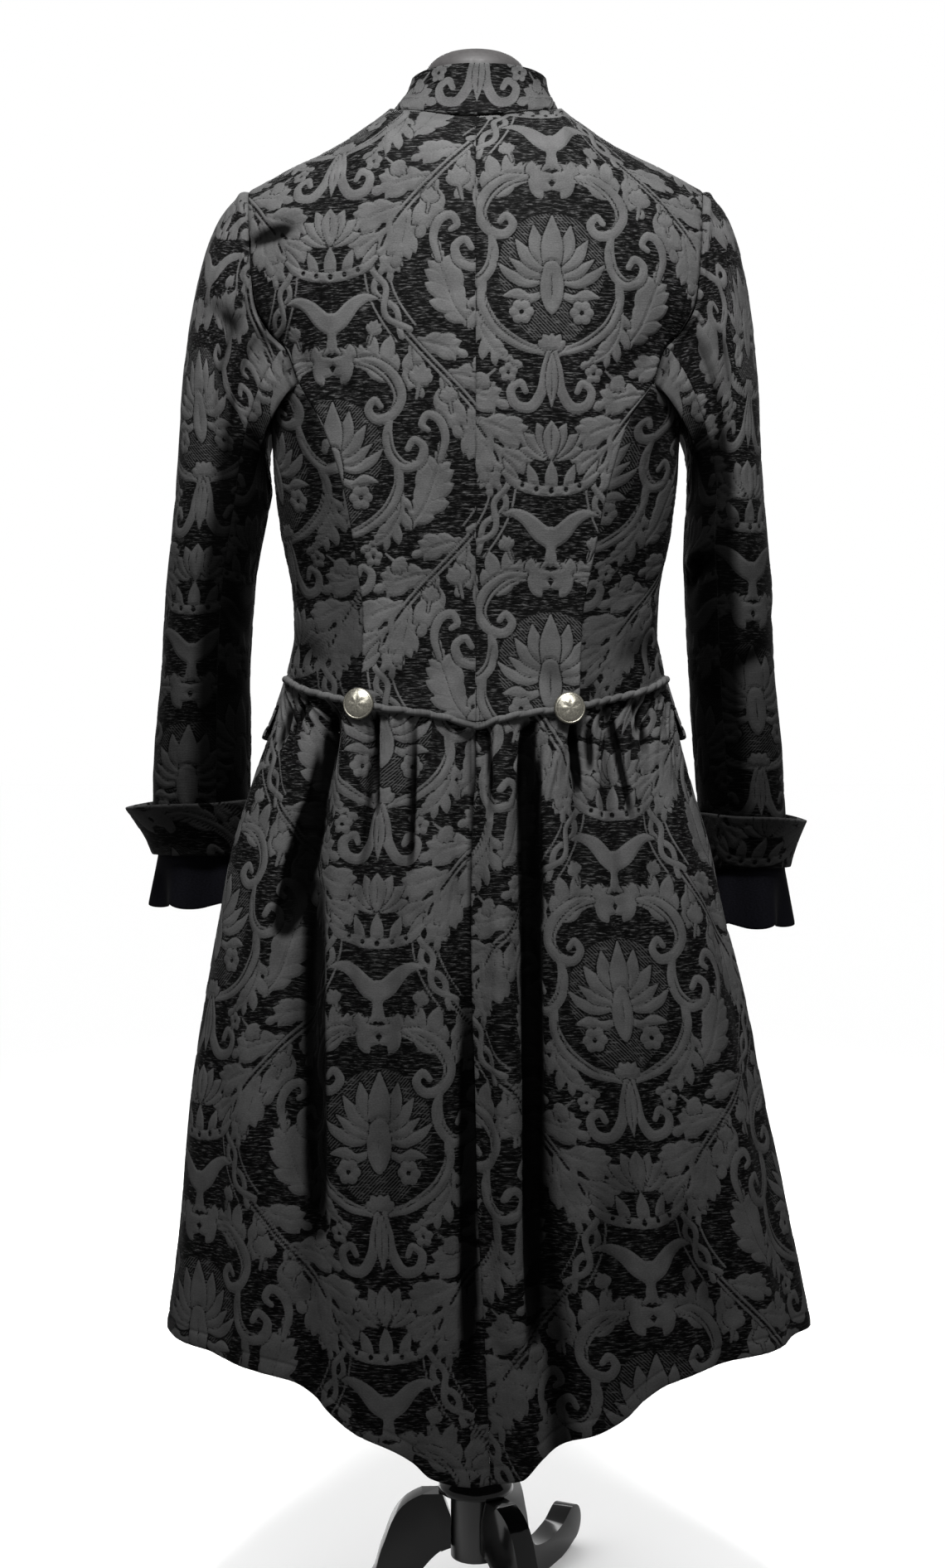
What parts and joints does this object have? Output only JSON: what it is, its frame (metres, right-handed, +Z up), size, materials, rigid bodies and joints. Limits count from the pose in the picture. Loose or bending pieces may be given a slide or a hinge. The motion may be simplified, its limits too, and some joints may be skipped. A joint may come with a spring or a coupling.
{
  "type": "brocade tailcoat on a dress form",
  "caption": "Black damask-brocade tailcoat with stand collar, gathered skirt, flared cuffs and frills, worn by a limbless dress form on a lacquered stand with legs.",
  "frame": {"origin": "middle of the whole box in plan, on the floor under the stand's feet", "axes": "+Z up, the coat's front faces -Y and its back +Y, the wearer's left is +X"},
  "size_m": [0.6838, 0.4002, 1.5293],
  "materials": {
    "brocade": "black chenille damask brocade",
    "voile": "thin plain black cotton",
    "pewter": "antiqued pewter, domed with a worn relief",
    "jersey": "grey jersey drawn over foam",
    "plastic": "grey satin",
    "lacquer": "gloss black lacquer",
    "steel": "gloss black paint"
  },
  "bodies": {
    "root": {"back_left": "brocade", "back_right": "brocade", "button_back_left": "pewter", "button_back_right": "pewter", "button_front_1": "pewter", "button_front_2": "pewter", "button_front_3": "pewter", "button_front_4": "pewter", "button_front_5": "pewter", "collar": "brocade", "cuff_left": "brocade", "cuff_right": "brocade", "flap_left": "brocade", "flap_right": "brocade", "form_column": "lacquer", "form_flange": "lacquer", "form_leg_1": "lacquer", "form_leg_2": "lacquer", "form_leg_3": "lacquer", "form_neck_cap": "plastic", "form_pole": "steel", "form_torso": "jersey", "frill_left": "voile", "frill_right": "voile", "front_left": "brocade", "front_right": "brocade", "piping_back": "brocade", "piping_left": "brocade", "piping_right": "brocade", "side_left": "brocade", "side_right": "brocade", "skirt_back_left": "brocade", "skirt_back_right": "brocade", "skirt_front_left": "brocade", "skirt_front_right": "brocade", "sleeve_under_left": "brocade", "sleeve_under_right": "brocade", "sleeve_upper_left": "brocade", "sleeve_upper_right": "brocade"}
  },
  "joints": []
}
